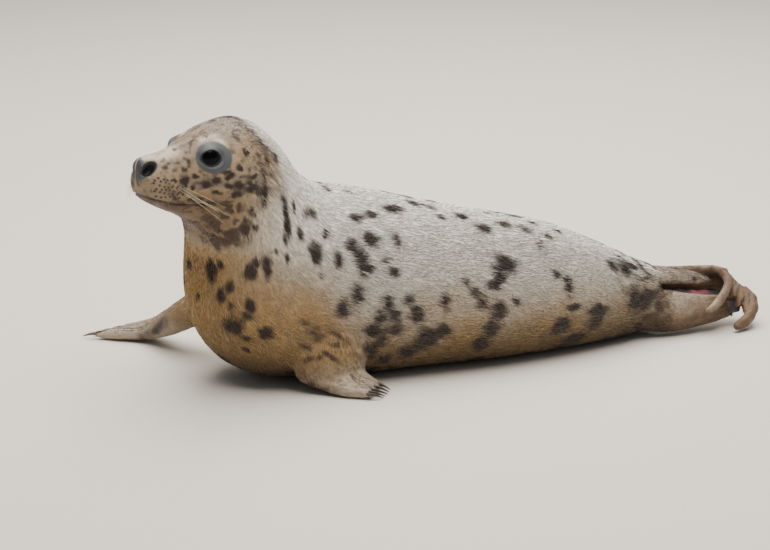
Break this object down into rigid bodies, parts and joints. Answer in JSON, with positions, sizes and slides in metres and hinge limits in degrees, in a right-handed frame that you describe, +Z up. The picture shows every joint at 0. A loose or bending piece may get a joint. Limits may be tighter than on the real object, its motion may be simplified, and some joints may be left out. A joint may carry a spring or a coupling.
{
  "type": "grey seal",
  "caption": "Young grey seal lying on its belly with its head raised and turned, fore flippers out to the sides and hind flippers closed together behind.",
  "frame": {"origin": "on the floor, in the flat under the middle of the trunk", "axes": "+Z up; +X along the trunk towards the tail, so the head lies towards -X; the animal's left side is towards -Y"},
  "size_m": [1.0568, 0.4864, 0.4136],
  "materials": {
    "coat": "short dense fur, silver grey above and buff below, with dark brown blotches",
    "flipper_skin": "thin short-haired skin over the flippers, brown to tan",
    "eye": "wet, nearly black eyeball",
    "claw": "smooth dark horn"
  },
  "bodies": {
    "root": {"head": "coat", "neck": "coat", "trunk": "coat", "tail": "coat", "eye_left": "eye", "eye_right": "eye", "fore_flipper_left": "flipper_skin", "fore_flipper_right": "flipper_skin", "hind_flipper_left": "flipper_skin", "hind_flipper_right": "flipper_skin", "fore_flipper_left_claw_1": "claw", "fore_flipper_left_claw_2": "claw", "fore_flipper_left_claw_3": "claw", "fore_flipper_left_claw_4": "claw", "fore_flipper_left_claw_5": "claw", "fore_flipper_right_claw_1": "claw", "fore_flipper_right_claw_2": "claw", "fore_flipper_right_claw_3": "claw", "fore_flipper_right_claw_4": "claw", "fore_flipper_right_claw_5": "claw", "hind_flipper_left_claw_1": "claw", "hind_flipper_left_claw_2": "claw", "hind_flipper_left_claw_3": "claw", "hind_flipper_left_claw_4": "claw", "hind_flipper_left_claw_5": "claw", "hind_flipper_right_claw_1": "claw", "hind_flipper_right_claw_2": "claw", "hind_flipper_right_claw_3": "claw", "hind_flipper_right_claw_4": "claw", "hind_flipper_right_claw_5": "claw"}
  },
  "joints": []
}
